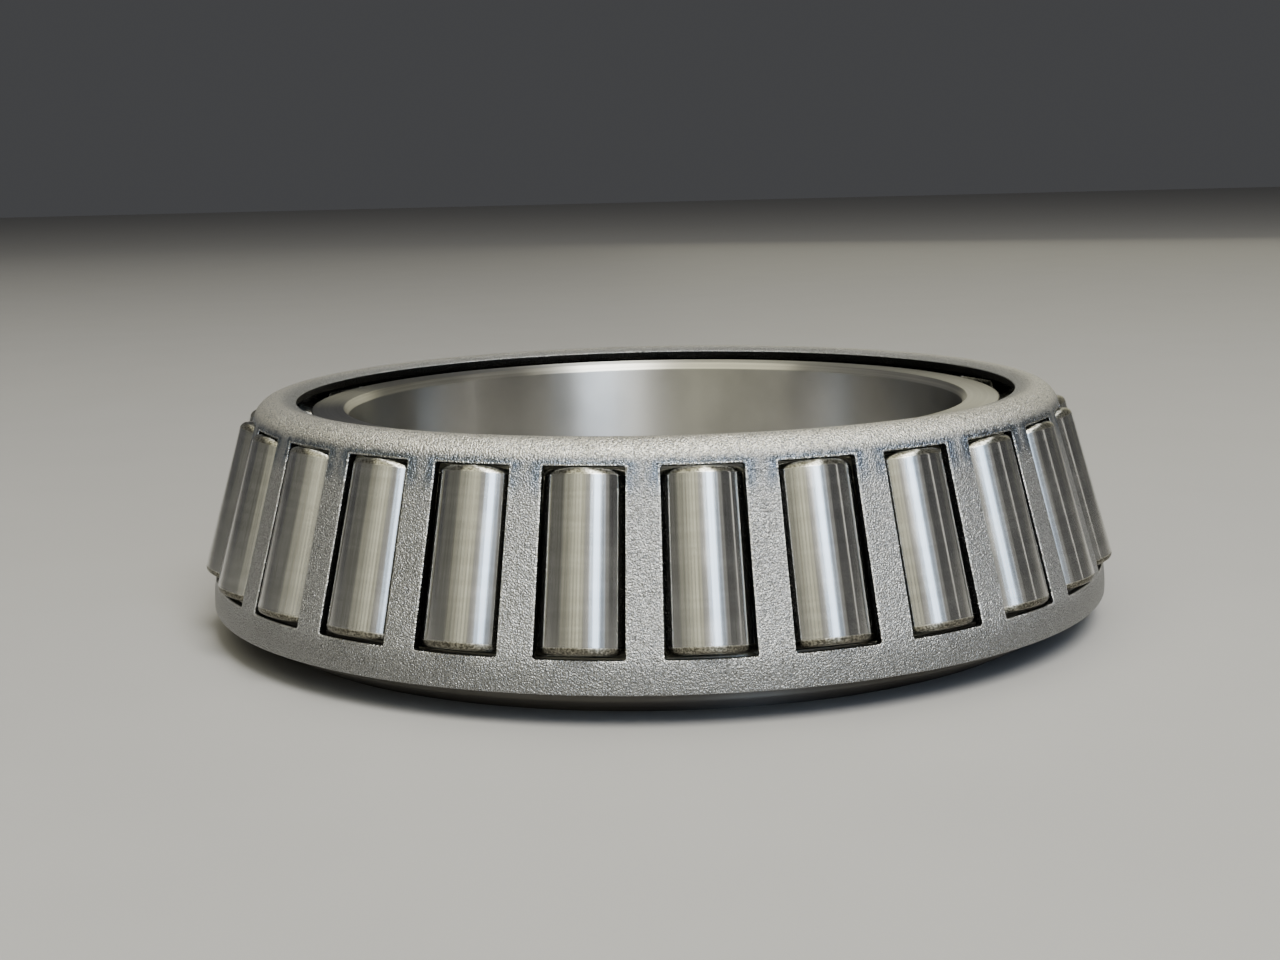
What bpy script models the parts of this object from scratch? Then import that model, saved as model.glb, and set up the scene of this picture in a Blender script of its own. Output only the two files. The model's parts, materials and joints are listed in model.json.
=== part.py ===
"""Cone assembly of a tapered roller bearing: inner ring, pressed steel cage and tapered rollers.

The cone's raceway, the rollers and the sides of the cage's windows all point at one apex on the
bearing's axis, so that the rollers roll without sliding. The assembly stands on its large end,
with the axis along +Z and a roller at -Y. Sizes are in metres.
"""
import math

import bpy

MM = 0.001
FULL_TURN = 2.0 * math.pi

# Rolling geometry: everything is measured from the apex, along the rollers' axes.
ROLLER_COUNT = 26
APEX_HEIGHT = 259.8 * MM
CUP_ANGLE = math.radians(16.5)
LARGE_END_DISTANCE = 260.0 * MM
ROLLER_LENGTH = 24.6 * MM
ROLLER_LARGE_RADIUS = 6.8 * MM
ROLLER_LARGE_CHAMFER = 0.95 * MM
ROLLER_SMALL_CHAMFER = 0.85 * MM
ROLLER_SIDES = 28

# Inner ring, called the cone.
BORE_RADIUS = 50.0 * MM
RING_WIDTH = 35.0 * MM
BORE_BACK_CHAMFER = 2.8 * MM
BORE_FRONT_CHAMFER_WIDTH = 0.75 * MM
BORE_FRONT_CHAMFER_HEIGHT = 1.15 * MM
LARGE_RIB_RADIUS = 68.1 * MM
LARGE_RIB_CHAMFER_WIDTH = 4.4 * MM
LARGE_RIB_CHAMFER_HEIGHT = 2.5 * MM
SMALL_RIB_RADIUS = 55.9 * MM
EDGE_BREAK = 0.3 * MM
UNDERCUT_WIDTH = 1.2 * MM
UNDERCUT_DEPTH = 0.35 * MM
SMALL_ROOT_DEPTH = 0.07 * MM
LARGE_ROOT_RISE = 0.175 * MM
RACEWAY_GAP = 0.15 * MM
LARGE_RIB_GAP = 0.25 * MM
SMALL_RIB_GAP = 0.5 * MM
RING_SEGMENTS = 3 * ROLLER_COUNT

# Cage, pressed from steel sheet.
SHEET = 1.5 * MM
WALL_ANGLE = math.radians(16.2)
WINDOW_TOP_RADIUS = 65.15 * MM
WINDOW_TOP_HEIGHT = 33.84 * MM
WINDOW_BOTTOM_HEIGHT = 9.32 * MM
WINDOW_LARGE_HALF_WIDTH = 6.17 * MM
CAGE_BOTTOM_HEIGHT = 4.67 * MM
RIM_BEND_RADIUS = 19.7 * MM
RIM_BEND_TOP_HEIGHT = 11.0 * MM
SHOULDER_BEND_RADIUS = 4.0 * MM
SHOULDER_BEND_START = 0.45 * MM
SHOULDER_STEPS = 3
FLANGE_INNER_RADIUS = 58.2 * MM
COLUMNS_PER_WINDOW = 4
WINDOW_BOTTOM_ROW = 2
WINDOW_TOP_ROW = 4
SHARP_ANGLE = math.radians(35.0)

ROLLER_HALF_ANGLE = math.atan(ROLLER_LARGE_RADIUS / LARGE_END_DISTANCE)
AXIS_TILT = CUP_ANGLE - ROLLER_HALF_ANGLE
RACEWAY_ANGLE = AXIS_TILT - ROLLER_HALF_ANGLE
SMALL_END_DISTANCE = LARGE_END_DISTANCE - ROLLER_LENGTH
ROLLER_SMALL_RADIUS = ROLLER_LARGE_RADIUS * SMALL_END_DISTANCE / LARGE_END_DISTANCE


def clear_scene():
    for obj in list(bpy.data.objects):
        bpy.data.objects.remove(obj, do_unlink=True)


def steel(name, colour, roughness):
    """A bare steel finish."""
    material = bpy.data.materials.new(name)
    material.use_nodes = True
    shader = material.node_tree.nodes["Principled BSDF"]
    shader.inputs["Base Color"].default_value = (*colour, 1.0)
    shader.inputs["Metallic"].default_value = 1.0
    shader.inputs["Roughness"].default_value = roughness
    return material


def add_object(name, mesh, material):
    mesh.materials.append(material)
    mesh.shade_smooth()
    obj = bpy.data.objects.new(name, mesh)
    bpy.context.scene.collection.objects.link(obj)
    return obj


def add_revolved(name, outline, closed, steps, material):
    """Turn an outline of (radius, height) points, drawn down its outer side, round the Z axis."""
    mesh = bpy.data.meshes.new(name)
    points = [(radius, 0.0, height) for radius, height in outline]
    edges = [(i, i + 1) for i in range(len(points) - 1)]
    if closed:
        edges.append((len(points) - 1, 0))
    mesh.from_pydata(points, edges, [])
    obj = add_object(name, mesh, material)
    screw = obj.modifiers.new("Turned", "SCREW")
    screw.axis = "Z"
    screw.angle = FULL_TURN
    screw.steps = steps
    screw.render_steps = steps
    screw.use_merge_vertices = True
    screw.merge_threshold = 0.01 * MM
    screw.use_smooth_shade = True
    return obj


def distance_from_apex(radius, height):
    """How far a point lies from the apex, measured along a roller's axis."""
    return radius * math.sin(AXIS_TILT) + (APEX_HEIGHT - height) * math.cos(AXIS_TILT)


def end_plane_height(radius, distance):
    """Height of the plane square to a roller's axis at a distance from the apex."""
    return APEX_HEIGHT - (distance - radius * math.sin(AXIS_TILT)) / math.cos(AXIS_TILT)


def raceway_radius(height):
    """Radius of the cone's raceway, just clear of the rollers."""
    return (APEX_HEIGHT - height) * math.tan(RACEWAY_ANGLE) - RACEWAY_GAP / math.cos(RACEWAY_ANGLE)


def make_inner_ring(material):
    """The cone: bore, raceway between a small and a large rib, and relief grooves beside the ribs."""
    front = RING_WIDTH
    small_face_distance = SMALL_END_DISTANCE - SMALL_RIB_GAP
    large_face_distance = LARGE_END_DISTANCE + LARGE_RIB_GAP
    race_top = end_plane_height(raceway_radius(front), small_face_distance) - UNDERCUT_WIDTH
    race_bottom = end_plane_height(raceway_radius(0.0), large_face_distance) + UNDERCUT_WIDTH
    small_root = raceway_radius(race_top + UNDERCUT_WIDTH) - SMALL_ROOT_DEPTH
    large_root = raceway_radius(race_bottom - UNDERCUT_WIDTH) + LARGE_ROOT_RISE
    rib_shoulder = LARGE_RIB_RADIUS - EDGE_BREAK
    outline = [
        (BORE_RADIUS + BORE_FRONT_CHAMFER_WIDTH, front),
        (SMALL_RIB_RADIUS - EDGE_BREAK, front),
        (SMALL_RIB_RADIUS, front - EDGE_BREAK),
        (SMALL_RIB_RADIUS, end_plane_height(SMALL_RIB_RADIUS, small_face_distance)),
        (small_root, end_plane_height(small_root, small_face_distance)),
        (raceway_radius(race_top) - UNDERCUT_DEPTH, race_top + 0.5 * UNDERCUT_WIDTH),
        (raceway_radius(race_top), race_top),
        (raceway_radius(race_bottom), race_bottom),
        (raceway_radius(race_bottom) - UNDERCUT_DEPTH, race_bottom - 0.5 * UNDERCUT_WIDTH),
        (large_root, end_plane_height(large_root, large_face_distance)),
        (rib_shoulder, end_plane_height(rib_shoulder, large_face_distance)),
        (LARGE_RIB_RADIUS, end_plane_height(rib_shoulder, large_face_distance) - EDGE_BREAK),
        (LARGE_RIB_RADIUS, LARGE_RIB_CHAMFER_HEIGHT),
        (LARGE_RIB_RADIUS - LARGE_RIB_CHAMFER_WIDTH, 0.0),
        (BORE_RADIUS + BORE_BACK_CHAMFER, 0.0),
        (BORE_RADIUS, BORE_BACK_CHAMFER),
        (BORE_RADIUS, front - BORE_FRONT_CHAMFER_HEIGHT),
    ]
    return add_revolved("inner_ring", outline, True, RING_SEGMENTS, material)


def arc(centre, radius, start, end, steps):
    """Points and outward normals on an arc; the angle runs from +radius towards +height."""
    points = []
    for i in range(steps + 1):
        angle = start + (end - start) * i / steps
        normal = (math.cos(angle), math.sin(angle))
        points.append((centre[0] + radius * normal[0], centre[1] + radius * normal[1], normal))
    return points


def cage_section():
    """Outer side of the pressed sheet from its lower edge to the flange's inner edge."""
    wall_normal = (math.cos(WALL_ANGLE), math.sin(WALL_ANGLE))
    rim_top_radius = WINDOW_TOP_RADIUS
    rim_top_radius += (WINDOW_TOP_HEIGHT - RIM_BEND_TOP_HEIGHT) * math.tan(WALL_ANGLE)
    rim_centre = (rim_top_radius - RIM_BEND_RADIUS * wall_normal[0],
                  RIM_BEND_TOP_HEIGHT - RIM_BEND_RADIUS * wall_normal[1])
    window_bottom_angle = math.asin((WINDOW_BOTTOM_HEIGHT - rim_centre[1]) / RIM_BEND_RADIUS)
    rim_radius = rim_centre[0] + RIM_BEND_RADIUS
    lower_edge = (rim_radius, CAGE_BOTTOM_HEIGHT, (1.0, 0.0))
    rim = arc(rim_centre, RIM_BEND_RADIUS, 0.0, window_bottom_angle, 1)
    rim += arc(rim_centre, RIM_BEND_RADIUS, window_bottom_angle, WALL_ANGLE, 1)[1:]
    window_top = (WINDOW_TOP_RADIUS, WINDOW_TOP_HEIGHT, wall_normal)
    shoulder_centre = (
        WINDOW_TOP_RADIUS - SHOULDER_BEND_START * wall_normal[1]
        - SHOULDER_BEND_RADIUS * wall_normal[0],
        WINDOW_TOP_HEIGHT + SHOULDER_BEND_START * wall_normal[0]
        - SHOULDER_BEND_RADIUS * wall_normal[1])
    flange_angle = WALL_ANGLE + 0.5 * math.pi
    shoulder = arc(shoulder_centre, SHOULDER_BEND_RADIUS, WALL_ANGLE, flange_angle, SHOULDER_STEPS)
    bend_end_radius, bend_end_height, flange_normal = shoulder[-1]
    flange_run = bend_end_radius - FLANGE_INNER_RADIUS
    flange_end = (FLANGE_INNER_RADIUS,
                  bend_end_height - flange_run * math.tan(WALL_ANGLE), flange_normal)
    return [lower_edge] + rim + [window_top] + shoulder + [flange_end]


def window_column_angle(radius, height):
    """Angle at the bearing's axis from a window's middle to its side, at a point of the sheet."""
    half_width = WINDOW_LARGE_HALF_WIDTH * distance_from_apex(radius, height) / LARGE_END_DISTANCE
    return math.asin(half_width / radius)


def make_cage(material):
    """The pressed sheet as one closed skin, with a window through it in front of each roller."""
    outer = cage_section()
    inner = [(r - SHEET * n[0], z - SHEET * n[1]) for r, z, n in reversed(outer)]
    section = [(r, z) for r, z, n in outer] + inner
    row_count = len(section)
    last = row_count - 1
    columns = COLUMNS_PER_WINDOW * ROLLER_COUNT
    pitch = FULL_TURN / ROLLER_COUNT

    points = []
    for column in range(columns):
        place = column % COLUMNS_PER_WINDOW
        middle = (column // COLUMNS_PER_WINDOW) * pitch - 0.5 * math.pi
        for radius, height in section:
            side = window_column_angle(radius, height)
            angle = middle + (0.0, side, 0.5 * pitch, pitch - side)[place]
            points.append((radius * math.cos(angle), radius * math.sin(angle), height))

    def corner(column, row):
        return (column % columns) * row_count + row % row_count

    faces = []
    for column in range(columns):
        place = column % COLUMNS_PER_WINDOW
        beside_middle = place in (0, 3)
        for row in range(row_count):
            sheet_row = row if row < last - row else last - row - 1
            in_window = WINDOW_BOTTOM_ROW <= sheet_row < WINDOW_TOP_ROW and row != len(outer) - 1
            if not (beside_middle and in_window):
                faces.append((corner(column, row), corner(column + 1, row),
                              corner(column + 1, row + 1), corner(column, row + 1)))
        if beside_middle:
            bottom, top = WINDOW_BOTTOM_ROW, WINDOW_TOP_ROW
            faces.append((corner(column, bottom), corner(column + 1, bottom),
                          corner(column + 1, last - bottom), corner(column, last - bottom)))
            faces.append((corner(column, last - top), corner(column + 1, last - top),
                          corner(column + 1, top), corner(column, top)))
        for row in range(WINDOW_BOTTOM_ROW, WINDOW_TOP_ROW):
            wall = (corner(column, row), corner(column, row + 1),
                    corner(column, last - row - 1), corner(column, last - row))
            if place == 1:
                faces.append(wall)
            if place == 3:
                faces.append(wall[::-1])

    mesh = bpy.data.meshes.new("cage")
    mesh.from_pydata(points, [], faces)
    cage = add_object("cage", mesh, material)
    mesh.set_sharp_from_angle(angle=SHARP_ANGLE)
    return cage


def roller_outline():
    """Side of a roller from the middle of its small end to the middle of its large end."""
    half = 0.5 * ROLLER_LENGTH

    def radius_at(height):
        fraction = (half - height) / ROLLER_LENGTH
        return ROLLER_SMALL_RADIUS + (ROLLER_LARGE_RADIUS - ROLLER_SMALL_RADIUS) * fraction

    small_shoulder = half - ROLLER_SMALL_CHAMFER
    large_shoulder = ROLLER_LARGE_CHAMFER - half
    return [
        (0.0, half),
        (ROLLER_SMALL_RADIUS - ROLLER_SMALL_CHAMFER, half),
        (radius_at(small_shoulder), small_shoulder),
        (radius_at(large_shoulder), large_shoulder),
        (ROLLER_LARGE_RADIUS - ROLLER_LARGE_CHAMFER, -half),
        (0.0, -half),
    ]


def make_rollers(cage, material):
    """The rollers, each with its origin at its middle and its own Z axis pointing at the apex."""
    middle_distance = 0.5 * (LARGE_END_DISTANCE + SMALL_END_DISTANCE)
    orbit_radius = middle_distance * math.sin(AXIS_TILT)
    height = APEX_HEIGHT - middle_distance * math.cos(AXIS_TILT)
    for number in range(ROLLER_COUNT):
        azimuth = number * FULL_TURN / ROLLER_COUNT - 0.5 * math.pi
        name = f"roller_{number + 1:02d}"
        roller = add_revolved(name, roller_outline(), False, ROLLER_SIDES, material)
        roller.location = (orbit_radius * math.cos(azimuth), orbit_radius * math.sin(azimuth), height)
        roller.rotation_euler = (0.0, -AXIS_TILT, azimuth)
        roller.parent = cage


clear_scene()
make_inner_ring(steel("ring_steel", (0.55, 0.54, 0.52), 0.25))
cage_object = make_cage(steel("cage_steel", (0.42, 0.42, 0.43), 0.5))
make_rollers(cage_object, steel("roller_steel", (0.62, 0.61, 0.6), 0.12))
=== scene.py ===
"""Looks of a tapered roller bearing's cone assembly: inner ring, rollers and pressed cage.

Each visible piece is a fine surface worked out here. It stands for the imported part's node of the same
name and rides on that node's body. Sizes are in metres, with the bearing's axis along +Z.
"""

import json
import math

import bmesh
import bpy
import numpy as np
from mathutils import Matrix, Vector


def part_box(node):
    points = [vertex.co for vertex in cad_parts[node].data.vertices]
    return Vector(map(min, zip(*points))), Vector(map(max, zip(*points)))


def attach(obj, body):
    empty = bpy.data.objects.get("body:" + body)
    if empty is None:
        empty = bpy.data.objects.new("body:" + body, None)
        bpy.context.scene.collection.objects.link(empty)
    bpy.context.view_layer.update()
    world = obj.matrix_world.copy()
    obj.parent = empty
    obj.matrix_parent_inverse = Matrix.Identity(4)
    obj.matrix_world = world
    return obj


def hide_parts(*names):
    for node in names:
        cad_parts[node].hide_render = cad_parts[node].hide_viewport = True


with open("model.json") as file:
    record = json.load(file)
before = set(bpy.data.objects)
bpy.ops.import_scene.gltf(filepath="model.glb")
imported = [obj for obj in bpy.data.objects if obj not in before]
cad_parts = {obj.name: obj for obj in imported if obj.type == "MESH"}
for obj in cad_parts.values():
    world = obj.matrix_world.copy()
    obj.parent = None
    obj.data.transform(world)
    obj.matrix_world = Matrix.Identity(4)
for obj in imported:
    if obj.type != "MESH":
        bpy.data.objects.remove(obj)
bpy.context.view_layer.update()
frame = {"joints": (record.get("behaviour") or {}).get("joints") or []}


# --- Inner ring -----------------------------------------------------------------------------------
# The cone of the bearing: one ring of through-hardened steel, turned, then ground on its bore, its
# faces and its raceway. The rollers run between a low rib at the top and a high rib at the bottom.

MM = 0.001
FULL_TURN = 2.0 * math.pi

ring_low, ring_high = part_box("inner_ring")
RING_WIDTH = ring_high.z - ring_low.z
LARGE_RIB_RADIUS = ring_high.x
BORE_RADIUS = 50.0 * MM
SMALL_RIB_RADIUS = 55.9 * MM
BORE_BACK_CHAMFER = 2.8 * MM
BORE_FRONT_CHAMFER_WIDTH = 0.75 * MM
BORE_FRONT_CHAMFER_HEIGHT = 1.15 * MM
LARGE_RIB_CHAMFER_WIDTH = 4.4 * MM
LARGE_RIB_CHAMFER_HEIGHT = 2.5 * MM
UNDERCUT_WIDTH = 1.2 * MM
UNDERCUT_DEPTH = 0.35 * MM
RACEWAY_GAP = 0.15 * MM
LARGE_RIB_GAP = 0.25 * MM
SMALL_RIB_GAP = 0.5 * MM
RING_COLUMNS = 312
MERGE_DISTANCE = 0.001 * MM

# The rollers' axes, which all meet in the apex, are the record's joints.
roller_joints = [joint for joint in frame["joints"] if joint["name"].startswith("roller_")]
first_place = Vector(roller_joints[0]["pos_m"])
first_axis = Vector(roller_joints[0]["axis"])
ORBIT_RADIUS = math.hypot(first_place.x, first_place.y)
AXIS_TILT = math.acos(first_axis.normalized().z)
APEX_HEIGHT = first_place.z + ORBIT_RADIUS / math.tan(AXIS_TILT)
MIDDLE_DISTANCE = ORBIT_RADIUS / math.sin(AXIS_TILT)
ROLLER_LENGTH = 24.6 * MM
ROLLER_LARGE_RADIUS = 6.8 * MM
LARGE_END_DISTANCE = MIDDLE_DISTANCE + 0.5 * ROLLER_LENGTH
SMALL_END_DISTANCE = MIDDLE_DISTANCE - 0.5 * ROLLER_LENGTH
RACEWAY_ANGLE = AXIS_TILT - math.atan(ROLLER_LARGE_RADIUS / LARGE_END_DISTANCE)


def raceway_radius(height):
    """Radius of the cone's raceway: apex distance down the axis times the tangent of its angle."""
    return (APEX_HEIGHT - height) * math.tan(RACEWAY_ANGLE) - RACEWAY_GAP / math.cos(RACEWAY_ANGLE)


def end_plane_height(radius, distance):
    """Height of the plane that stands square to a roller's axis at a distance from the apex."""
    return APEX_HEIGHT - (distance - radius * math.sin(AXIS_TILT)) / math.cos(AXIS_TILT)


def rounded_outline(corners, closed, steps=4):
    """Outline with each corner (radius, height, fillet, finish of the side after it) rounded.

    A corner C becomes the parabola (1-t)^2 A + 2t(1-t) C + t^2 B, whose ends A and B lie one fillet
    from C along its two sides. The finish runs evenly from one side's value to the next one's.
    Returns points (n, 2) and their finish (n,).
    """
    corners = np.array(corners, float)
    place, fillet, finish = corners[:, :2], corners[:, 2], corners[:, 3]
    before = np.roll(place, 1, axis=0) - place
    after = np.roll(place, -1, axis=0) - place
    before /= np.linalg.norm(before, axis=1, keepdims=True)
    after /= np.linalg.norm(after, axis=1, keepdims=True)
    start = place + before * fillet[:, None]
    end = place + after * fillet[:, None]
    t = np.linspace(0.0, 1.0, steps + 1)[None, :, None]
    curve = (1 - t) ** 2 * start[:, None] + 2 * t * (1 - t) * place[:, None] + t ** 2 * end[:, None]
    blend = (1 - t[..., 0]) * np.roll(finish, 1)[:, None] + t[..., 0] * finish[:, None]
    if not closed:
        curve = np.concatenate([place[0][None], curve[1:-1].reshape(-1, 2), place[-1][None]])
        blend = np.concatenate([finish[:1], blend[1:-1].ravel(), finish[-2:-1]])
    return curve.reshape(-1, 2), blend.ravel()


def turned_grid(outline, finish, columns, centre, radial, sideways, axis):
    """Outline turned round an axis: centre + rho (cos a radial + sin a sideways) + height axis.

    The UV map holds the share of a turn and the length run along the outline, in millimetres.
    """
    turn = np.linspace(0.0, 1.0, columns + 1)[None, :, None]
    angle = FULL_TURN * turn
    rho = outline[:, 0][:, None, None]
    height = outline[:, 1][:, None, None]
    points = centre + rho * (np.cos(angle) * radial + np.sin(angle) * sideways) + height * axis
    steps = np.linalg.norm(np.diff(outline, axis=0), axis=1)
    run = np.concatenate([[0.0], np.cumsum(steps)]) / MM
    uv = np.stack(np.broadcast_arrays(turn[..., 0], run[:, None]), axis=-1)
    marks = np.broadcast_to(finish[:, None], points.shape[:2])
    return points, uv, {"finish": marks}


def add_piece(name, grids, material, body):
    """One closed piece from grids (points, uv, marks) of four-cornered faces.

    A face runs from a grid point to the next column, the next row and back. Points that meet, at a
    seam or a pole, are merged. The piece stands for the node of its own name.
    """
    points, corners, uvs, marks, count = [], [], [], {}, 0
    for grid_points, grid_uv, grid_marks in grids:
        rows, columns = grid_points.shape[:2]
        numbers = count + np.arange(rows * columns).reshape(rows, columns)
        quads = [numbers[:-1, :-1], numbers[:-1, 1:], numbers[1:, 1:], numbers[1:, :-1]]
        corners.append(np.stack(quads, axis=-1).reshape(-1, 4))
        points.append(grid_points.reshape(-1, 3))
        uvs.append(grid_uv.reshape(-1, 2))
        for key, values in grid_marks.items():
            marks.setdefault(key, []).append(values.ravel())
        count += rows * columns
    corners = np.concatenate(corners)
    mesh = bpy.data.meshes.new(name)
    mesh.from_pydata(np.concatenate(points).tolist(), [], corners.tolist())
    layer = mesh.uv_layers.new(name="surface")
    layer.data.foreach_set("uv", np.concatenate(uvs)[corners.ravel()].astype(np.float32).ravel())
    for key, values in marks.items():
        attribute = mesh.attributes.new(key, "FLOAT", "POINT")
        attribute.data.foreach_set("value", np.concatenate(values).astype(np.float32))
    shell = bmesh.new()
    shell.from_mesh(mesh)
    bmesh.ops.remove_doubles(shell, verts=shell.verts, dist=MERGE_DISTANCE)
    shell.to_mesh(mesh)
    shell.free()
    mesh.shade_smooth()
    mesh.materials.append(material)
    piece = bpy.data.objects.new(name + "_looks", mesh)
    bpy.context.scene.collection.objects.link(piece)
    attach(piece, body)
    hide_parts(name)


class Value:
    """A number that varies over a surface. Sums and products of values add Math nodes."""

    def __init__(self, finish, socket):
        self.finish = finish
        self.socket = socket

    def __add__(self, other):
        return self.finish.math("ADD", self, other)

    def __radd__(self, other):
        return self.finish.math("ADD", other, self)

    def __sub__(self, other):
        return self.finish.math("SUBTRACT", self, other)

    def __rsub__(self, other):
        return self.finish.math("SUBTRACT", other, self)

    def __mul__(self, other):
        return self.finish.math("MULTIPLY", self, other)

    def __rmul__(self, other):
        return self.finish.math("MULTIPLY", other, self)

    def between(self, low, high):
        """0 below low and 1 above high, with a smooth rise; low above high turns it round."""
        sockets = {"Value": self, "From Min": low, "From Max": high}
        return self.finish.node("ShaderNodeMapRange", {"interpolation_type": "SMOOTHSTEP"}, sockets)


class Finish:
    """A material's nodes. node() adds any node and returns the output asked for as a Value."""

    def __init__(self, name):
        self.material = bpy.data.materials.new(name)
        self.material.use_nodes = True
        self.tree = self.material.node_tree
        self.shader = self.tree.nodes["Principled BSDF"]

    def node(self, kind, settings, sockets, output=0):
        node = self.tree.nodes.new(kind)
        for key, value in settings.items():
            setattr(node, key, value)
        for key, value in sockets.items():
            self.feed(node.inputs[key], value)
        return Value(self, node.outputs[output])

    def feed(self, socket, value):
        """Links a Value to a socket, or sets a plain number or colour on it."""
        if isinstance(value, Value):
            self.tree.links.new(value.socket, socket)
        else:
            socket.default_value = value

    def math(self, operation, first, second=0.0):
        """A Math node. An operation on one number leaves the second at zero."""
        return self.node("ShaderNodeMath", {"operation": operation}, {0: first, 1: second})

    def shade(self, **sockets):
        """Feeds the shader's sockets; an underscore in a name stands for a space."""
        for key, value in sockets.items():
            self.feed(self.shader.inputs[key.replace("_", " ")], value)

    def place(self):
        """The piece's own coordinates, in metres."""
        return self.node("ShaderNodeTexCoord", {}, {}, "Object")

    def mark(self, name):
        """A number stored on the piece's points."""
        return self.node("ShaderNodeAttribute", {"attribute_name": name}, {}, "Fac")

    def surface(self):
        """The UV map as two Values: across and along."""
        uv = self.node("ShaderNodeUVMap", {"uv_map": "surface"}, {})
        across = self.node("ShaderNodeSeparateXYZ", {}, {0: uv}, 0)
        return across, self.node("ShaderNodeSeparateXYZ", {}, {0: uv}, 1)

    def vector(self, x, y, z):
        return self.node("ShaderNodeCombineXYZ", {}, {0: x, 1: y, 2: z})

    def noise(self, vector, scale, detail=2.0, roughness=0.5):
        sockets = {"Vector": vector, "Scale": scale, "Detail": detail, "Roughness": roughness}
        return self.node("ShaderNodeTexNoise", {}, sockets, 0)

    def mix(self, factor, first, second):
        """Colour between two colours."""
        sockets = {0: factor, 6: first, 7: second}
        return self.node("ShaderNodeMix", {"data_type": "RGBA"}, sockets, 2)

    def bump(self, height, distance, strength, normal=None):
        sockets = {"Height": height, "Distance": distance, "Strength": strength}
        if normal is not None:
            sockets["Normal"] = normal
        return self.node("ShaderNodeBump", {}, sockets)

    def round_the_axis(self, turn, run, across, along):
        """Place on a cylinder for a noise that is drawn out round the axis and has no seam."""
        angle = turn * FULL_TURN
        east = self.math("COSINE", angle) * across
        north = self.math("SINE", angle) * across
        return self.vector(east, north, run * along)


def ring_steel():
    """Ground steel with fine lines round the axis, turned steel with coarser ones, and painted shade on
    the large rib.

    The shader's tangent runs round the axis, so its quarter turn spreads a reflection up and down
    the surface, as the lines round it do.
    """
    finish = Finish("ring_steel")
    turn, run = finish.surface()
    turned = finish.mark("finish")
    fine = finish.noise(finish.round_the_axis(turn, run, 3.0, 9.0), 1.0, 3.0)
    coarse = finish.noise(finish.round_the_axis(turn, run, 1.2, 2.2), 1.0, 3.0)
    cloud = finish.noise(finish.place(), 90.0, 4.0)
    ground_tone = finish.mix(cloud.between(0.3, 0.75),
                             (0.43, 0.425, 0.41, 1.0), (0.51, 0.505, 0.485, 1.0))
    turned_and_edge_highlight_tone = finish.mix(coarse.between(0.3, 0.7),
                             (0.70, 0.68, 0.61, 1.0), (0.90, 0.88, 0.80, 1.0))
    # Painted shade: the large rib's outer side is painted darker and its chamfer near black, as both
    # sit low by the floor under the cage.
    painted_shade_tone = (0.085, 0.08, 0.075, 1.0)
    # Where a corner's mark runs from ground to the painted shade it passes the turned tone, which
    # leaves a thin painted highlight along that edge.
    colour = finish.mix(turned, ground_tone, turned_and_edge_highlight_tone)
    colour = finish.mix(turned.between(TURNED, PAINTED_SHADE), colour, painted_shade_tone)
    roughness = 0.25 + 0.04 * fine + 0.04 * cloud + 0.12 * turned
    lines = finish.bump(fine, 0.002 * MM, 0.4)
    ridges = finish.bump(coarse, 0.02 * MM, turned * 0.6, lines)
    finish.shade(Base_Color=colour, Metallic=1.0, Roughness=roughness, Normal=ridges,
                 Anisotropic=1.0, Anisotropic_Rotation=0.25)
    return finish.material


# How a side is finished: ground, ground more coarsely, turned, then painted shade in part and in full.
GROUND, FACE, TURNED, RIB, PAINTED_SHADE = 0.0, 0.45, 1.0, 1.75, 2.0
small_face_distance = SMALL_END_DISTANCE - SMALL_RIB_GAP
large_face_distance = LARGE_END_DISTANCE + LARGE_RIB_GAP
race_top = end_plane_height(raceway_radius(RING_WIDTH), small_face_distance) - UNDERCUT_WIDTH
race_bottom = end_plane_height(raceway_radius(0.0), large_face_distance) + UNDERCUT_WIDTH
top_groove_radius = raceway_radius(race_top) - UNDERCUT_DEPTH
bottom_groove_radius = raceway_radius(race_bottom) - UNDERCUT_DEPTH
small_root = raceway_radius(race_top + UNDERCUT_WIDTH)
large_root = raceway_radius(race_bottom - UNDERCUT_WIDTH) + 0.5 * UNDERCUT_DEPTH
ring_corners = [
    (BORE_RADIUS, RING_WIDTH - BORE_FRONT_CHAMFER_HEIGHT, 0.15 * MM, TURNED),
    (BORE_RADIUS + BORE_FRONT_CHAMFER_WIDTH, RING_WIDTH, 0.15 * MM, FACE),
    (SMALL_RIB_RADIUS, RING_WIDTH, 0.35 * MM, GROUND),
    (SMALL_RIB_RADIUS, end_plane_height(SMALL_RIB_RADIUS, small_face_distance), 0.2 * MM, FACE),
    (small_root, end_plane_height(small_root, small_face_distance), 0.2 * MM, TURNED),
    (top_groove_radius, race_top + 0.5 * UNDERCUT_WIDTH, 0.25 * MM, TURNED),
    (raceway_radius(race_top), race_top, 0.15 * MM, GROUND),
    (raceway_radius(race_bottom), race_bottom, 0.15 * MM, TURNED),
    (bottom_groove_radius, race_bottom - 0.5 * UNDERCUT_WIDTH, 0.25 * MM, TURNED),
    (large_root, end_plane_height(large_root, large_face_distance), 0.2 * MM, GROUND),
    # The large rib's outer side and chamfer carry painted shade.
    (LARGE_RIB_RADIUS, end_plane_height(LARGE_RIB_RADIUS, large_face_distance), 0.3 * MM, RIB),
    (LARGE_RIB_RADIUS, LARGE_RIB_CHAMFER_HEIGHT, 0.25 * MM, PAINTED_SHADE),
    (LARGE_RIB_RADIUS - LARGE_RIB_CHAMFER_WIDTH, 0.0, 0.3 * MM, FACE),
    (BORE_RADIUS + BORE_BACK_CHAMFER, 0.0, 0.25 * MM, TURNED),
    (BORE_RADIUS, BORE_BACK_CHAMFER, 0.3 * MM, GROUND),
]
X_AXIS, Y_AXIS, Z_AXIS = np.eye(3)
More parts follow.
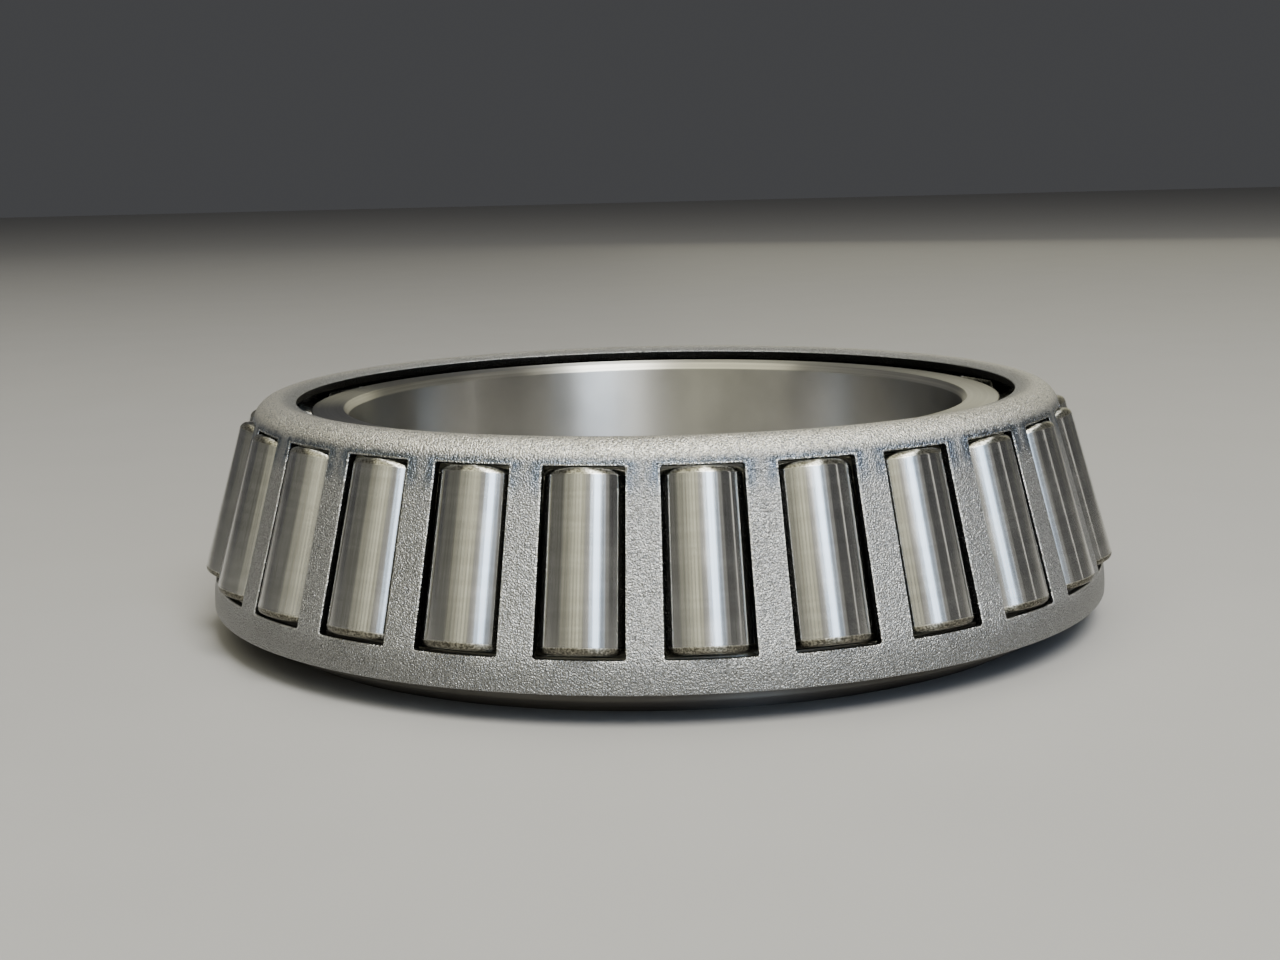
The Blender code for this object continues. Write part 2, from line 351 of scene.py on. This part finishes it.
ring_outline, ring_finish = rounded_outline(ring_corners, closed=True)
ring_outline = np.concatenate([ring_outline, ring_outline[:1]])[::-1]
ring_finish = np.concatenate([ring_finish, ring_finish[:1]])[::-1]
ring_grid = turned_grid(
    ring_outline, ring_finish, RING_COLUMNS, np.zeros(3), X_AXIS, Y_AXIS, Z_AXIS)
add_piece("inner_ring", [ring_grid], ring_steel(), "inner_ring")


# --- Rollers --------------------------------------------------------------------------------------
# Tapered rollers of hardened steel, ground and polished along their sides, with tumbled, duller
# rounded edges. Each stands in its own window of the cage with its axis pointing at the apex.

ROLLER_SMALL_RADIUS = ROLLER_LARGE_RADIUS * SMALL_END_DISTANCE / LARGE_END_DISTANCE
ROLLER_LARGE_CHAMFER = 0.95 * MM
ROLLER_SMALL_CHAMFER = 0.85 * MM
EDGE_BULGE = 0.24 * MM
ROLLER_COLUMNS = 96
LINES_SHIFT = 40.0
GROOVES_SHIFT = 7.0
# How a side is finished: polished, ground, tumbled, or tumbled with painted shade.
POLISHED, ENDS, TUMBLED, SHADED_LARGE_END = 0.0, 0.5, 1.0, 2.0


def roller_steel():
    """Polished steel with faint lines round and along the roller, mottled, duller edges, and painted
    shade on the large end's rounding.

    Each roller reads the noises at its own shift, so no two look alike.
    """
    finish = Finish("roller_steel")
    turn, run = finish.surface()
    worn_and_shaded = finish.mark("finish")
    number = finish.mark("number")
    own_run = run + LINES_SHIFT * number
    lines = finish.noise(finish.round_the_axis(turn, own_run, 1.5, 14.0), 1.0, 3.0)
    bands = finish.noise(finish.round_the_axis(turn, own_run, 0.6, 1.1), 1.0, 2.0)
    mottle = finish.noise(finish.place(), 3400.0, 3.0)
    cloud = finish.noise(finish.place(), 160.0, 3.0)
    along = finish.round_the_axis(turn, run + GROOVES_SHIFT * number, 16.0, 0.03)
    grooves = finish.noise(along, 1.0, 2.0, 0.7)
    body = finish.mix(bands.between(0.35, 0.7), (0.70, 0.695, 0.66, 1.0), (0.78, 0.775, 0.74, 1.0))
    body = finish.mix(grooves.between(0.45, 0.7) * 0.45, body, (0.50, 0.485, 0.44, 1.0))
    edge = finish.mix(mottle.between(0.35, 0.65), (0.20, 0.19, 0.155, 1.0), (0.66, 0.64, 0.55, 1.0))
    # Painted shade: the large end's rounding, low by the large rib, is painted darker than the small
    # end's, over the same mottle.
    large_end_shade_mottle = finish.mix(mottle.between(0.35, 0.75), (0.07, 0.065, 0.05, 1.0), (0.40, 0.38, 0.31, 1.0))
    tumbled = worn_and_shaded.between(POLISHED, TUMBLED)
    colour = finish.mix(tumbled, body, edge)
    colour = finish.mix(worn_and_shaded.between(TUMBLED, SHADED_LARGE_END), colour, large_end_shade_mottle)
    roughness = 0.15 + 0.05 * lines + 0.04 * cloud.between(0.4, 0.7) + 0.18 * tumbled
    scratches = finish.bump(lines, 0.002 * MM, 0.5)
    pits = finish.bump(mottle, 0.02 * MM, worn_and_shaded * 0.5, scratches)
    finish.shade(Base_Color=colour, Metallic=1.0, Roughness=roughness, Normal=pits,
                 Anisotropic=0.95, Anisotropic_Rotation=0.25)
    return finish.material


half_length = 0.5 * ROLLER_LENGTH
small_end = ROLLER_SMALL_RADIUS
large_end = ROLLER_LARGE_RADIUS
taper = (large_end - small_end) / ROLLER_LENGTH
large_edge = large_end - taper * ROLLER_LARGE_CHAMFER
small_edge = small_end + taper * ROLLER_SMALL_CHAMFER
roller_corners = [
    (0.0, -half_length, 0.0, ENDS),
    # The large end's rounding carries painted shade.
    (large_end - ROLLER_LARGE_CHAMFER, -half_length, 0.25 * MM, SHADED_LARGE_END),
    (large_end - EDGE_BULGE, EDGE_BULGE - half_length, 0.4 * MM, SHADED_LARGE_END),
    (large_edge, ROLLER_LARGE_CHAMFER - half_length, 0.15 * MM, POLISHED),
    (small_edge, half_length - ROLLER_SMALL_CHAMFER, 0.15 * MM, TUMBLED),
    (small_end - EDGE_BULGE, half_length - EDGE_BULGE, 0.35 * MM, TUMBLED),
    (small_end - ROLLER_SMALL_CHAMFER, half_length, 0.25 * MM, ENDS),
    (0.0, half_length, 0.0, ENDS),
]
roller_outline, roller_finish = rounded_outline(roller_corners, closed=False)
polished_steel = roller_steel()
for number, joint in enumerate(roller_joints):
    centre = np.array(joint["pos_m"])
    axis = np.array(joint["axis"]) / np.linalg.norm(joint["axis"])
    sideways = np.cross(axis, [centre[0], centre[1], 0.0])
    sideways /= np.linalg.norm(sideways)
    radial = np.cross(sideways, axis)
    roller_points, roller_uv, roller_marks = turned_grid(
        roller_outline, roller_finish, ROLLER_COLUMNS, centre, radial, sideways, axis)
    roller_marks["number"] = np.full(roller_points.shape[:2], 1.0 + number)
    roller_grid = (roller_points, roller_uv, roller_marks)
    add_piece(joint["child"], [roller_grid], polished_steel, joint["child"])


# --- Cage -----------------------------------------------------------------------------------------
# One pressed and blanked steel sheet that keeps the rollers apart, shot blasted to a matte grey. A
# window is punched for each roller, and the small end is turned in to a flange over the inner ring.

cage_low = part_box("cage")[0]
SHEET = 1.5 * MM
WALL_ANGLE = math.radians(16.2)
WINDOW_TOP_RADIUS = 65.15 * MM
WINDOW_TOP_HEIGHT = 33.84 * MM
WINDOW_BOTTOM_HEIGHT = 9.32 * MM
WINDOW_LARGE_HALF_WIDTH = 6.17 * MM
WINDOW_CORNER = 0.4 * MM
CAGE_BOTTOM_HEIGHT = cage_low.z
RIM_BEND_RADIUS = 19.7 * MM
RIM_BEND_TOP_HEIGHT = 11.0 * MM
SHOULDER_BEND_RADIUS = 4.0 * MM
SHOULDER_BEND_START = 0.45 * MM
FLANGE_INNER_RADIUS = 58.2 * MM
CUT_EDGE = 0.16 * MM
WINDOW_COUNT = len(roller_joints)
PITCH = FULL_TURN / WINDOW_COUNT

# Lengths along the sheet's outer side: upright rim, rim bend, wall, shoulder bend and flange.
wall_rise = WINDOW_TOP_HEIGHT - RIM_BEND_TOP_HEIGHT
wall_foot_radius = WINDOW_TOP_RADIUS + wall_rise * math.tan(WALL_ANGLE)
rim_radius = wall_foot_radius + RIM_BEND_RADIUS * (1.0 - math.cos(WALL_ANGLE))
rim_length = RIM_BEND_TOP_HEIGHT - RIM_BEND_RADIUS * math.sin(WALL_ANGLE) - CAGE_BOTTOM_HEIGHT
rim_bend_length = RIM_BEND_RADIUS * WALL_ANGLE
wall_length = wall_rise / math.cos(WALL_ANGLE) + SHOULDER_BEND_START
shoulder_length = SHOULDER_BEND_RADIUS * 0.5 * math.pi
shoulder_start_radius = WINDOW_TOP_RADIUS - SHOULDER_BEND_START * math.sin(WALL_ANGLE)
shoulder_reach = SHOULDER_BEND_RADIUS * (math.cos(WALL_ANGLE) + math.sin(WALL_ANGLE))
flange_length = (shoulder_start_radius - shoulder_reach - FLANGE_INNER_RADIUS) / math.cos(WALL_ANGLE)
bend_runs = np.cumsum([0.0, rim_length, rim_bend_length, wall_length, shoulder_length, flange_length])
FLANGE_LEAN = 0.5 * math.pi + WALL_ANGLE
bend_leans = np.array([0.0, 0.0, WALL_ANGLE, WALL_ANGLE, FLANGE_LEAN, FLANGE_LEAN])
SHEET_LENGTH = bend_runs[-1]
SECTION_STEPS = 4000
fine_run = np.linspace(0.0, SHEET_LENGTH, SECTION_STEPS + 1)
fine_lean = np.interp(fine_run, bend_runs, bend_leans)
middle_lean = 0.5 * (fine_lean[1:] + fine_lean[:-1])
fine_step = fine_run[1]
inward_sum = np.concatenate([[0.0], np.cumsum(np.sin(middle_lean))])
upward_sum = np.concatenate([[0.0], np.cumsum(np.cos(middle_lean))])
fine_radius = rim_radius - inward_sum * fine_step
fine_height = CAGE_BOTTOM_HEIGHT + upward_sum * fine_step


def sheet_section(run, depth):
    """Radius and height of the sheet at a length run up its outer side and a depth under it.

    The section's lean grows evenly over each bend. The outer side is the sum of small steps along
    (-sin lean, cos lean), and the depth is measured against the outward normal (cos lean, sin lean).
    """
    lean = np.interp(run, fine_run, fine_lean)
    radius = np.interp(run, fine_run, fine_radius) - depth * np.cos(lean)
    height = np.interp(run, fine_run, fine_height) - depth * np.sin(lean)
    return radius, height


def window_half_width(radius, height):
    """Half a window's width, which shrinks in step with the distance from the apex."""
    distance = radius * math.sin(AXIS_TILT) + (APEX_HEIGHT - height) * math.cos(AXIS_TILT)
    return WINDOW_LARGE_HALF_WIDTH * distance / LARGE_END_DISTANCE


def cut_edge(steps=3):
    """(distance from the cut, depth) round a cut edge, from the outer side to the inner side.

    Two quarter circles of the edge's radius with the straight cut between them.
    """
    angle = np.linspace(0.0, 0.5 * math.pi, steps + 1)
    distance = CUT_EDGE * (1.0 - np.sin(angle))
    depth = CUT_EDGE * (1.0 - np.cos(angle))
    return np.concatenate([distance, distance[::-1]]), np.concatenate([depth, SHEET - depth[::-1]])


def cage_grid(angle, run, depth, middle):
    """Grid of sheet points at an angle from a window's middle, with marks of their place in
    millimetres.

    edge is the shortest way to the window's outline: the hypotenuse of what a point lies beside the
    window and above or below it. UV is the way round and the way up the sheet.
    """
    radius, height = sheet_section(run, depth)
    turned = angle + middle
    points = np.stack([radius * np.cos(turned), radius * np.sin(turned), height], axis=-1)
    outer_radius, outer_height = sheet_section(run, 0.0)
    in_sector = (angle + 0.5 * PITCH) % PITCH - 0.5 * PITCH
    beside = np.abs(np.sin(in_sector)) * outer_radius - window_half_width(outer_radius, outer_height)
    above = np.maximum(WINDOW_BOTTOM_RUN - run, run - WINDOW_TOP_RUN)
    edge = np.hypot(np.maximum(beside, 0.0), np.maximum(above, 0.0)) / MM
    uv = np.stack([turned * WINDOW_TOP_RADIUS / MM, run / MM], axis=-1)
    return points, uv, {"edge": edge, "run": run / MM, "depth": depth / SHEET}


WALL_END = bend_runs[3]
rising = fine_run <= WALL_END
WINDOW_BOTTOM_RUN = np.interp(WINDOW_BOTTOM_HEIGHT, fine_height[rising], fine_run[rising])
WINDOW_TOP_RUN = WALL_END - SHOULDER_BEND_START
WINDOW_BORDER = 1.6 * MM
BORDER_BOTTOM_RUN = WINDOW_BOTTOM_RUN - WINDOW_BORDER
BORDER_TOP_RUN = WINDOW_TOP_RUN + WINDOW_BORDER

# The window's outline, counter-clockwise from its lower left corner, as a point and its outward
# normal in (sideways, run), with the place on the sector's border that each point belongs to.
ACROSS_STEPS, UP_STEPS, CORNER_STEPS = 8, 18, 4
quarter = np.linspace(0.0, 0.5 * math.pi, CORNER_STEPS + 1)
across = np.linspace(-1.0, 1.0, ACROSS_STEPS + 1)[1:-1]
upward = np.linspace(0.0, 1.0, UP_STEPS + 1)[1:-1]
bottom_half = window_half_width(*sheet_section(WINDOW_BOTTOM_RUN, 0.0))
top_half = window_half_width(*sheet_section(WINDOW_TOP_RUN, 0.0))
side_length = WINDOW_TOP_RUN - WINDOW_BOTTOM_RUN - 2.0 * WINDOW_CORNER
side_run = WINDOW_BOTTOM_RUN + WINDOW_CORNER + upward * side_length
side_half = window_half_width(*sheet_section(side_run, 0.0))
column_angle = math.asin((bottom_half - WINDOW_CORNER) / sheet_section(WINDOW_BOTTOM_RUN, 0.0)[0])
corner_share = np.array([0.0, 0.5, 1.0, 1.0, 1.0])
corner_angles = column_angle + corner_share * (0.5 * PITCH - column_angle)
corner_runs = np.array([1.0, 1.0, 1.0, 0.5, 0.0])


def window_corner(half, run, start, side, end):
    """A corner's arc: outline (y, run), normals and border places.

    Its normals turn a quarter round from the angle start. Side and end are the signs of its place.
    """
    angle = start + quarter
    normal = np.stack([np.cos(angle), np.sin(angle)], axis=-1)
    centre = np.array([side * (half - WINDOW_CORNER), run - end * WINDOW_CORNER])
    outline = centre + WINDOW_CORNER * normal
    border_run = BORDER_TOP_RUN if end > 0 else BORDER_BOTTOM_RUN
    angles, shares = corner_angles, corner_runs
    if side * end > 0:
        angles, shares = angles[::-1], shares[::-1]
    runs = centre[1] + shares * (border_run - centre[1])
    return outline, normal, side * angles, runs


def window_side(y, run, normal, angle, border_run):
    """A straight side of the outline."""
    y, run, angle, border_run = np.broadcast_arrays(y, run, angle, border_run)
    outline = np.stack([y, run], axis=-1)
    return outline, np.broadcast_to(np.array(normal), outline.shape), angle, border_run


outline_parts = [
    window_corner(bottom_half, WINDOW_BOTTOM_RUN, math.pi, -1.0, -1.0),
    window_side(across * (bottom_half - WINDOW_CORNER), WINDOW_BOTTOM_RUN, (0.0, -1.0),
                across * column_angle, BORDER_BOTTOM_RUN),
    window_corner(bottom_half, WINDOW_BOTTOM_RUN, -0.5 * math.pi, 1.0, -1.0),
    window_side(side_half, side_run, (1.0, 0.0), 0.5 * PITCH, side_run),
    window_corner(top_half, WINDOW_TOP_RUN, 0.0, 1.0, 1.0),
    window_side(-across * (top_half - WINDOW_CORNER), WINDOW_TOP_RUN, (0.0, 1.0),
                -across * column_angle, BORDER_TOP_RUN),
    window_corner(top_half, WINDOW_TOP_RUN, 0.5 * math.pi, -1.0, 1.0),
    window_side(-side_half[::-1], side_run[::-1], (-1.0, 0.0), -0.5 * PITCH, side_run[::-1]),
]
outline_parts = [np.concatenate(pieces) for pieces in zip(*outline_parts)]
window_outline, window_normal, border_angle, border_run = (
    np.concatenate([part, part[:1]]) for part in outline_parts)

# Rings round the window, from the sector's border over the outer side, through the cut edge and
# back along the inner side.
cut_distance, cut_depth = cut_edge()
outer_rings = np.array([1.1, 0.6, 0.3]) * MM
inner_rings = np.array([0.3, 1.0]) * MM
ring_distance = np.concatenate([outer_rings, cut_distance, inner_rings])
ring_depth = np.concatenate([
    np.zeros_like(outer_rings), cut_depth, np.full_like(inner_rings, SHEET)])
ring_place = window_outline[None] + ring_distance[:, None, None] * window_normal[None]
ring_depths = np.broadcast_to(ring_depth[:, None], ring_place.shape[:2])
ring_radius = sheet_section(ring_place[..., 1], ring_depths)[0]
ring_angle = np.arcsin(ring_place[..., 0] / ring_radius)
sector_angle = np.concatenate([border_angle[None], ring_angle, border_angle[None]])
sector_run = np.concatenate([border_run[None], ring_place[..., 1], border_run[None]])
sector_depth = np.concatenate([
    np.zeros_like(border_run[None]), ring_depths, np.full_like(border_run[None], SHEET)])

# Strips right round the cage below and above the windows, with the sectors' own columns.
sector_columns = np.concatenate([[-0.5 * PITCH], -corner_angles[1::-1], across * column_angle,
                                 corner_angles[:2]])
strip_angle = (sector_columns[None] + PITCH * np.arange(WINDOW_COUNT)[:, None]).ravel()
strip_angle = np.concatenate([strip_angle, [strip_angle[0] + FULL_TURN]])
LOWER_STEPS, UPPER_STEPS = 8, 25
lower_runs = np.linspace(BORDER_BOTTOM_RUN, 0.0, LOWER_STEPS + 1)[:-1]
lower_run = np.concatenate([lower_runs, cut_distance[::-1], lower_runs[::-1]])
lower_depth = np.concatenate([
    np.full_like(lower_runs, SHEET), cut_depth[::-1], np.zeros_like(lower_runs)])
upper_runs = np.linspace(BORDER_TOP_RUN, SHEET_LENGTH, UPPER_STEPS + 1)[:-1]
upper_run = np.concatenate([upper_runs, SHEET_LENGTH - cut_distance, upper_runs[::-1]])
upper_depth = np.concatenate([
    np.zeros_like(upper_runs), cut_depth, np.full_like(upper_runs, SHEET)])
FIRST_WINDOW = -0.5 * math.pi
cage_grids = [cage_grid(sector_angle, sector_run, sector_depth, FIRST_WINDOW + PITCH * number)
              for number in range(WINDOW_COUNT)]
for strip_run, strip_depth in ((lower_run, lower_depth), (upper_run, upper_depth)):
    cage_grids.append(cage_grid(*np.broadcast_arrays(
        strip_angle[None], strip_run[:, None], strip_depth[:, None]), FIRST_WINDOW))


def cage_steel():
    """Shot-blasted sheet with a dimpled grain, some marks, and painted light and shade.

    In order: a painted highlight on the shoulder bend, darker bluish patches beside the windows'
    upper corners, a darker mottled band above each window, smoother window edges with a painted
    highlight line, painted shade on the lower rim, and near-black painted shade on the cut edges
    and the sheet's inner side.
    """
    finish = Finish("cage_steel")
    place = finish.place()
    edge, run, depth = finish.mark("edge"), finish.mark("run"), finish.mark("depth")
    turn, up = finish.surface()
    grain = finish.noise(place, 5200.0, 2.0, 0.75)
    specks = finish.noise(place, 4200.0, 1.0)
    mottle = finish.noise(place, 1100.0, 3.0, 0.65)
    cloud = finish.noise(place, 110.0, 4.0)
    streaks = finish.noise(finish.vector(turn * 0.9, up * 0.3, 0.0), 1.0, 3.0, 0.6)
    spots = finish.noise(place, 330.0, 2.0)
    colour = finish.mix(grain.between(0.36, 0.64), (0.17, 0.17, 0.17, 1.0), (0.63, 0.63, 0.625, 1.0))
    colour = finish.mix(specks.between(0.34, 0.24) * 0.4, colour, (0.14, 0.14, 0.14, 1.0))
    colour = finish.mix(cloud.between(0.38, 0.68) * 0.25, colour, (0.42, 0.42, 0.42, 1.0))
    colour = finish.mix(spots.between(0.68, 0.76) * 0.3, colour, (0.20, 0.20, 0.20, 1.0))
    top = WINDOW_TOP_RUN / MM
    # Painted highlight: the shoulder bend, which faces up into the lights, is painted a speckled light
    # cream.
    bend = run.between(top + 0.5, top + 2.2) * run.between(top + 8.0, top + 5.0)
    bend = bend * specks.between(0.36, 0.54)
    colour = finish.mix(bend * 0.9, colour, (0.97, 0.93, 0.82, 1.0))
    # Darker, bluish patches beside the windows' upper corners, smoother than the sheet.
    patch = run.between(top - 5.0, top - 1.5) * run.between(top + 1.0, top + 0.2)
    patch = patch * streaks.between(0.22, 0.5) * edge.between(2.8, 0.6)
    colour = finish.mix(patch, colour, (0.20, 0.235, 0.29, 1.0))
    # A darker mottled band along each window's top edge, smoother than the sheet.
    top_edge_band = run.between(top - 0.1, top + 0.2) * edge.between(1.3, 0.9)
    top_edge_band = top_edge_band * mottle.between(0.40, 0.58)
    colour = finish.mix(top_edge_band * 0.65, colour, (0.20, 0.225, 0.26, 1.0))
    # Smoother strips along the window edges, painted near white as a highlight line.
    rubbed_edge_highlight = edge.between(0.34, 0.16) * edge.between(0.0, 0.04) * mottle.between(0.3, 0.5)
    colour = finish.mix(rubbed_edge_highlight * 0.5, colour, (0.90, 0.89, 0.86, 1.0))
    # Painted shade: the lower rim, down by the floor, is painted darker.
    rim = run.between(6.0, 2.0)
    colour = finish.mix(rim * 0.5, colour, (0.17, 0.17, 0.16, 1.0))
    # Painted shade: the cut faces of the windows and the sheet's ends, and the whole inner side of the
    # sheet, are painted near black.
    cut = depth.between(0.06, 0.14)
    colour = finish.mix(cut, colour, (0.015, 0.015, 0.015, 1.0))
    roughness = 0.36 + 0.12 * grain - 0.12 * rubbed_edge_highlight - 0.12 * top_edge_band - 0.16 * patch
    dimples = finish.bump(specks, 0.36 * MM, 0.85)
    finish.shade(Base_Color=colour, Metallic=1.0, Roughness=roughness, Normal=dimples)
    return finish.material


add_piece("cage", cage_grids, cage_steel(), "cage")


# --- Stage ----------------------------------------------------------------------------------------
# A plain pale floor under the back face, with flat soft lights round the bearing and over it. The
# low lights are the ones its upright sides mirror, and the camera stands a little above its front.

def plain_floor():
    """Pale painted floor with a very faint unevenness."""
    finish = Finish("pale_floor")
    cloud = finish.noise(finish.place(), 30.0, 2.0)
    colour = finish.mix(cloud, (0.365, 0.355, 0.345, 1.0), (0.39, 0.38, 0.37, 1.0))
    finish.shade(Base_Color=colour, Roughness=0.6)
    return finish.material


FLOOR_HALF = 3.0
floor_mesh = bpy.data.meshes.new("floor")
floor_corners = [(-FLOOR_HALF, -FLOOR_HALF, 0.0), (FLOOR_HALF, -FLOOR_HALF, 0.0),
                 (FLOOR_HALF, FLOOR_HALF, 0.0), (-FLOOR_HALF, FLOOR_HALF, 0.0)]
floor_mesh.from_pydata(floor_corners, [], [(0, 1, 2, 3)])
floor_mesh.materials.append(plain_floor())
floor = bpy.data.objects.new("floor", floor_mesh)
bpy.context.scene.collection.objects.link(floor)


def softbox(name, azimuth, spread, elevation, rise, radiance, colour):
    """A flat soft light that faces the bearing, spread wide and rise high, in degrees.

    Azimuth runs from -Y towards +X. A panel's side is twice its distance times the tangent of half
    the angle it fills, and its power is pi times its area times its radiance.
    """
    a, e = math.radians(azimuth), math.radians(elevation)
    direction = Vector((math.sin(a) * math.cos(e), -math.cos(a) * math.cos(e), math.sin(e)))
    light = bpy.data.lights.new(name, "AREA")
    light.shape = "RECTANGLE"
    light.size = 2.0 * LIGHT_DISTANCE * math.tan(math.radians(0.5 * spread))
    light.size_y = 2.0 * LIGHT_DISTANCE * math.tan(math.radians(0.5 * rise))
    light.color = colour
    light.energy = math.pi * light.size * light.size_y * radiance
    lamp = bpy.data.objects.new(name, light)
    lamp.location = direction * LIGHT_DISTANCE + Vector((0.0, 0.0, 0.5 * RING_WIDTH))
    lamp.rotation_euler = direction.to_track_quat("Z", "Y").to_euler()
    bpy.context.scene.collection.objects.link(lamp)


LIGHT_DISTANCE = 1.3
LOW, LOW_RISE = 30.0, 46.0
CREAM, WHITE, COOL = (1.0, 0.97, 0.72), (1.0, 0.98, 0.92), (0.66, 0.85, 1.13)
softbox("side_left", -88.0, 38.0, LOW, LOW_RISE, 0.08, CREAM)
softbox("left_edge", -61.0, 16.0, LOW, LOW_RISE, 0.12, CREAM)
softbox("left_wide", -38.0, 52.0, LOW, LOW_RISE, 0.17, CREAM)
FIRST_SLAT, SLAT_PITCH, SLAT_SPREAD = -47.0, 8.0, 6.2
for number, radiance in enumerate((0.28, 0.46, 0.62, 0.72, 0.45)):
    softbox(f"left_slat_{number}", FIRST_SLAT + SLAT_PITCH * number, SLAT_SPREAD, LOW, LOW_RISE,
            radiance, CREAM)
softbox("middle", -4.0, 14.0, LOW, LOW_RISE, 0.26, WHITE)
softbox("right_main", 16.0, 26.0, LOW, LOW_RISE, 1.2, COOL)
softbox("right_core", 18.5, 14.0, LOW, LOW_RISE, 3.1, COOL)
softbox("right_side", 34.0, 10.0, LOW, LOW_RISE, 0.5, COOL)
softbox("right_thread", 38.0, 2.0, LOW, LOW_RISE, 0.5, WHITE)
softbox("right_edge", 44.0, 10.0, LOW, LOW_RISE, 0.22, WHITE)
softbox("right_strip", 76.5, 3.0, 28.0, 46.0, 1.2, WHITE)
softbox("far_right", 130.0, 50.0, 28.0, 42.0, 0.09, CREAM)
softbox("far_left", -145.0, 40.0, 28.0, 42.0, 0.09, WHITE)
softbox("upper_right", 18.0, 24.0, 56.0, 32.0, 18.0, WHITE)
softbox("upper_side", 46.0, 22.0, 62.0, 36.0, 0.9, CREAM)
softbox("upper_left", -36.0, 52.0, 62.0, 36.0, 1.9, CREAM)
softbox("overhead", 180.0, 46.0, 72.0, 40.0, 0.4, WHITE)
softbox("back_right", 158.0, 34.0, 14.0, 22.0, 0.6, CREAM)

SURROUNDINGS = (0.062, 0.063, 0.066, 1.0)
world = bpy.data.worlds.new("studio")
world.use_nodes = True
background = world.node_tree.nodes["Background"]
background.inputs["Color"].default_value = SURROUNDINGS
background.inputs["Strength"].default_value = 1.0
bpy.context.scene.world = world

CAMERA_PLACE = Vector((-0.0289, -0.3088, 0.0734))
CAMERA_YAW, CAMERA_PITCH, CAMERA_ROLL = 0.0844, 0.1677, -0.0224
CAMERA_LENS, SENSOR_WIDTH = 53.25, 36.0
NEAREST_SEEN = 0.01
forward = Vector((math.sin(CAMERA_YAW) * math.cos(CAMERA_PITCH),
                  math.cos(CAMERA_YAW) * math.cos(CAMERA_PITCH), -math.sin(CAMERA_PITCH)))
level = Vector((math.cos(CAMERA_YAW), -math.sin(CAMERA_YAW), 0.0))
upright = level.cross(forward)
right = math.cos(CAMERA_ROLL) * level + math.sin(CAMERA_ROLL) * upright
above = math.cos(CAMERA_ROLL) * upright - math.sin(CAMERA_ROLL) * level
camera_data = bpy.data.cameras.new("camera")
camera_data.lens = CAMERA_LENS
camera_data.sensor_width = SENSOR_WIDTH
camera_data.clip_start = NEAREST_SEEN
camera = bpy.data.objects.new("camera", camera_data)
facing = Matrix((right, above, -forward)).transposed().to_4x4()
camera.matrix_world = Matrix.Translation(CAMERA_PLACE) @ facing
bpy.context.scene.collection.objects.link(camera)
bpy.context.scene.camera = camera

bpy.context.view_layer.update()
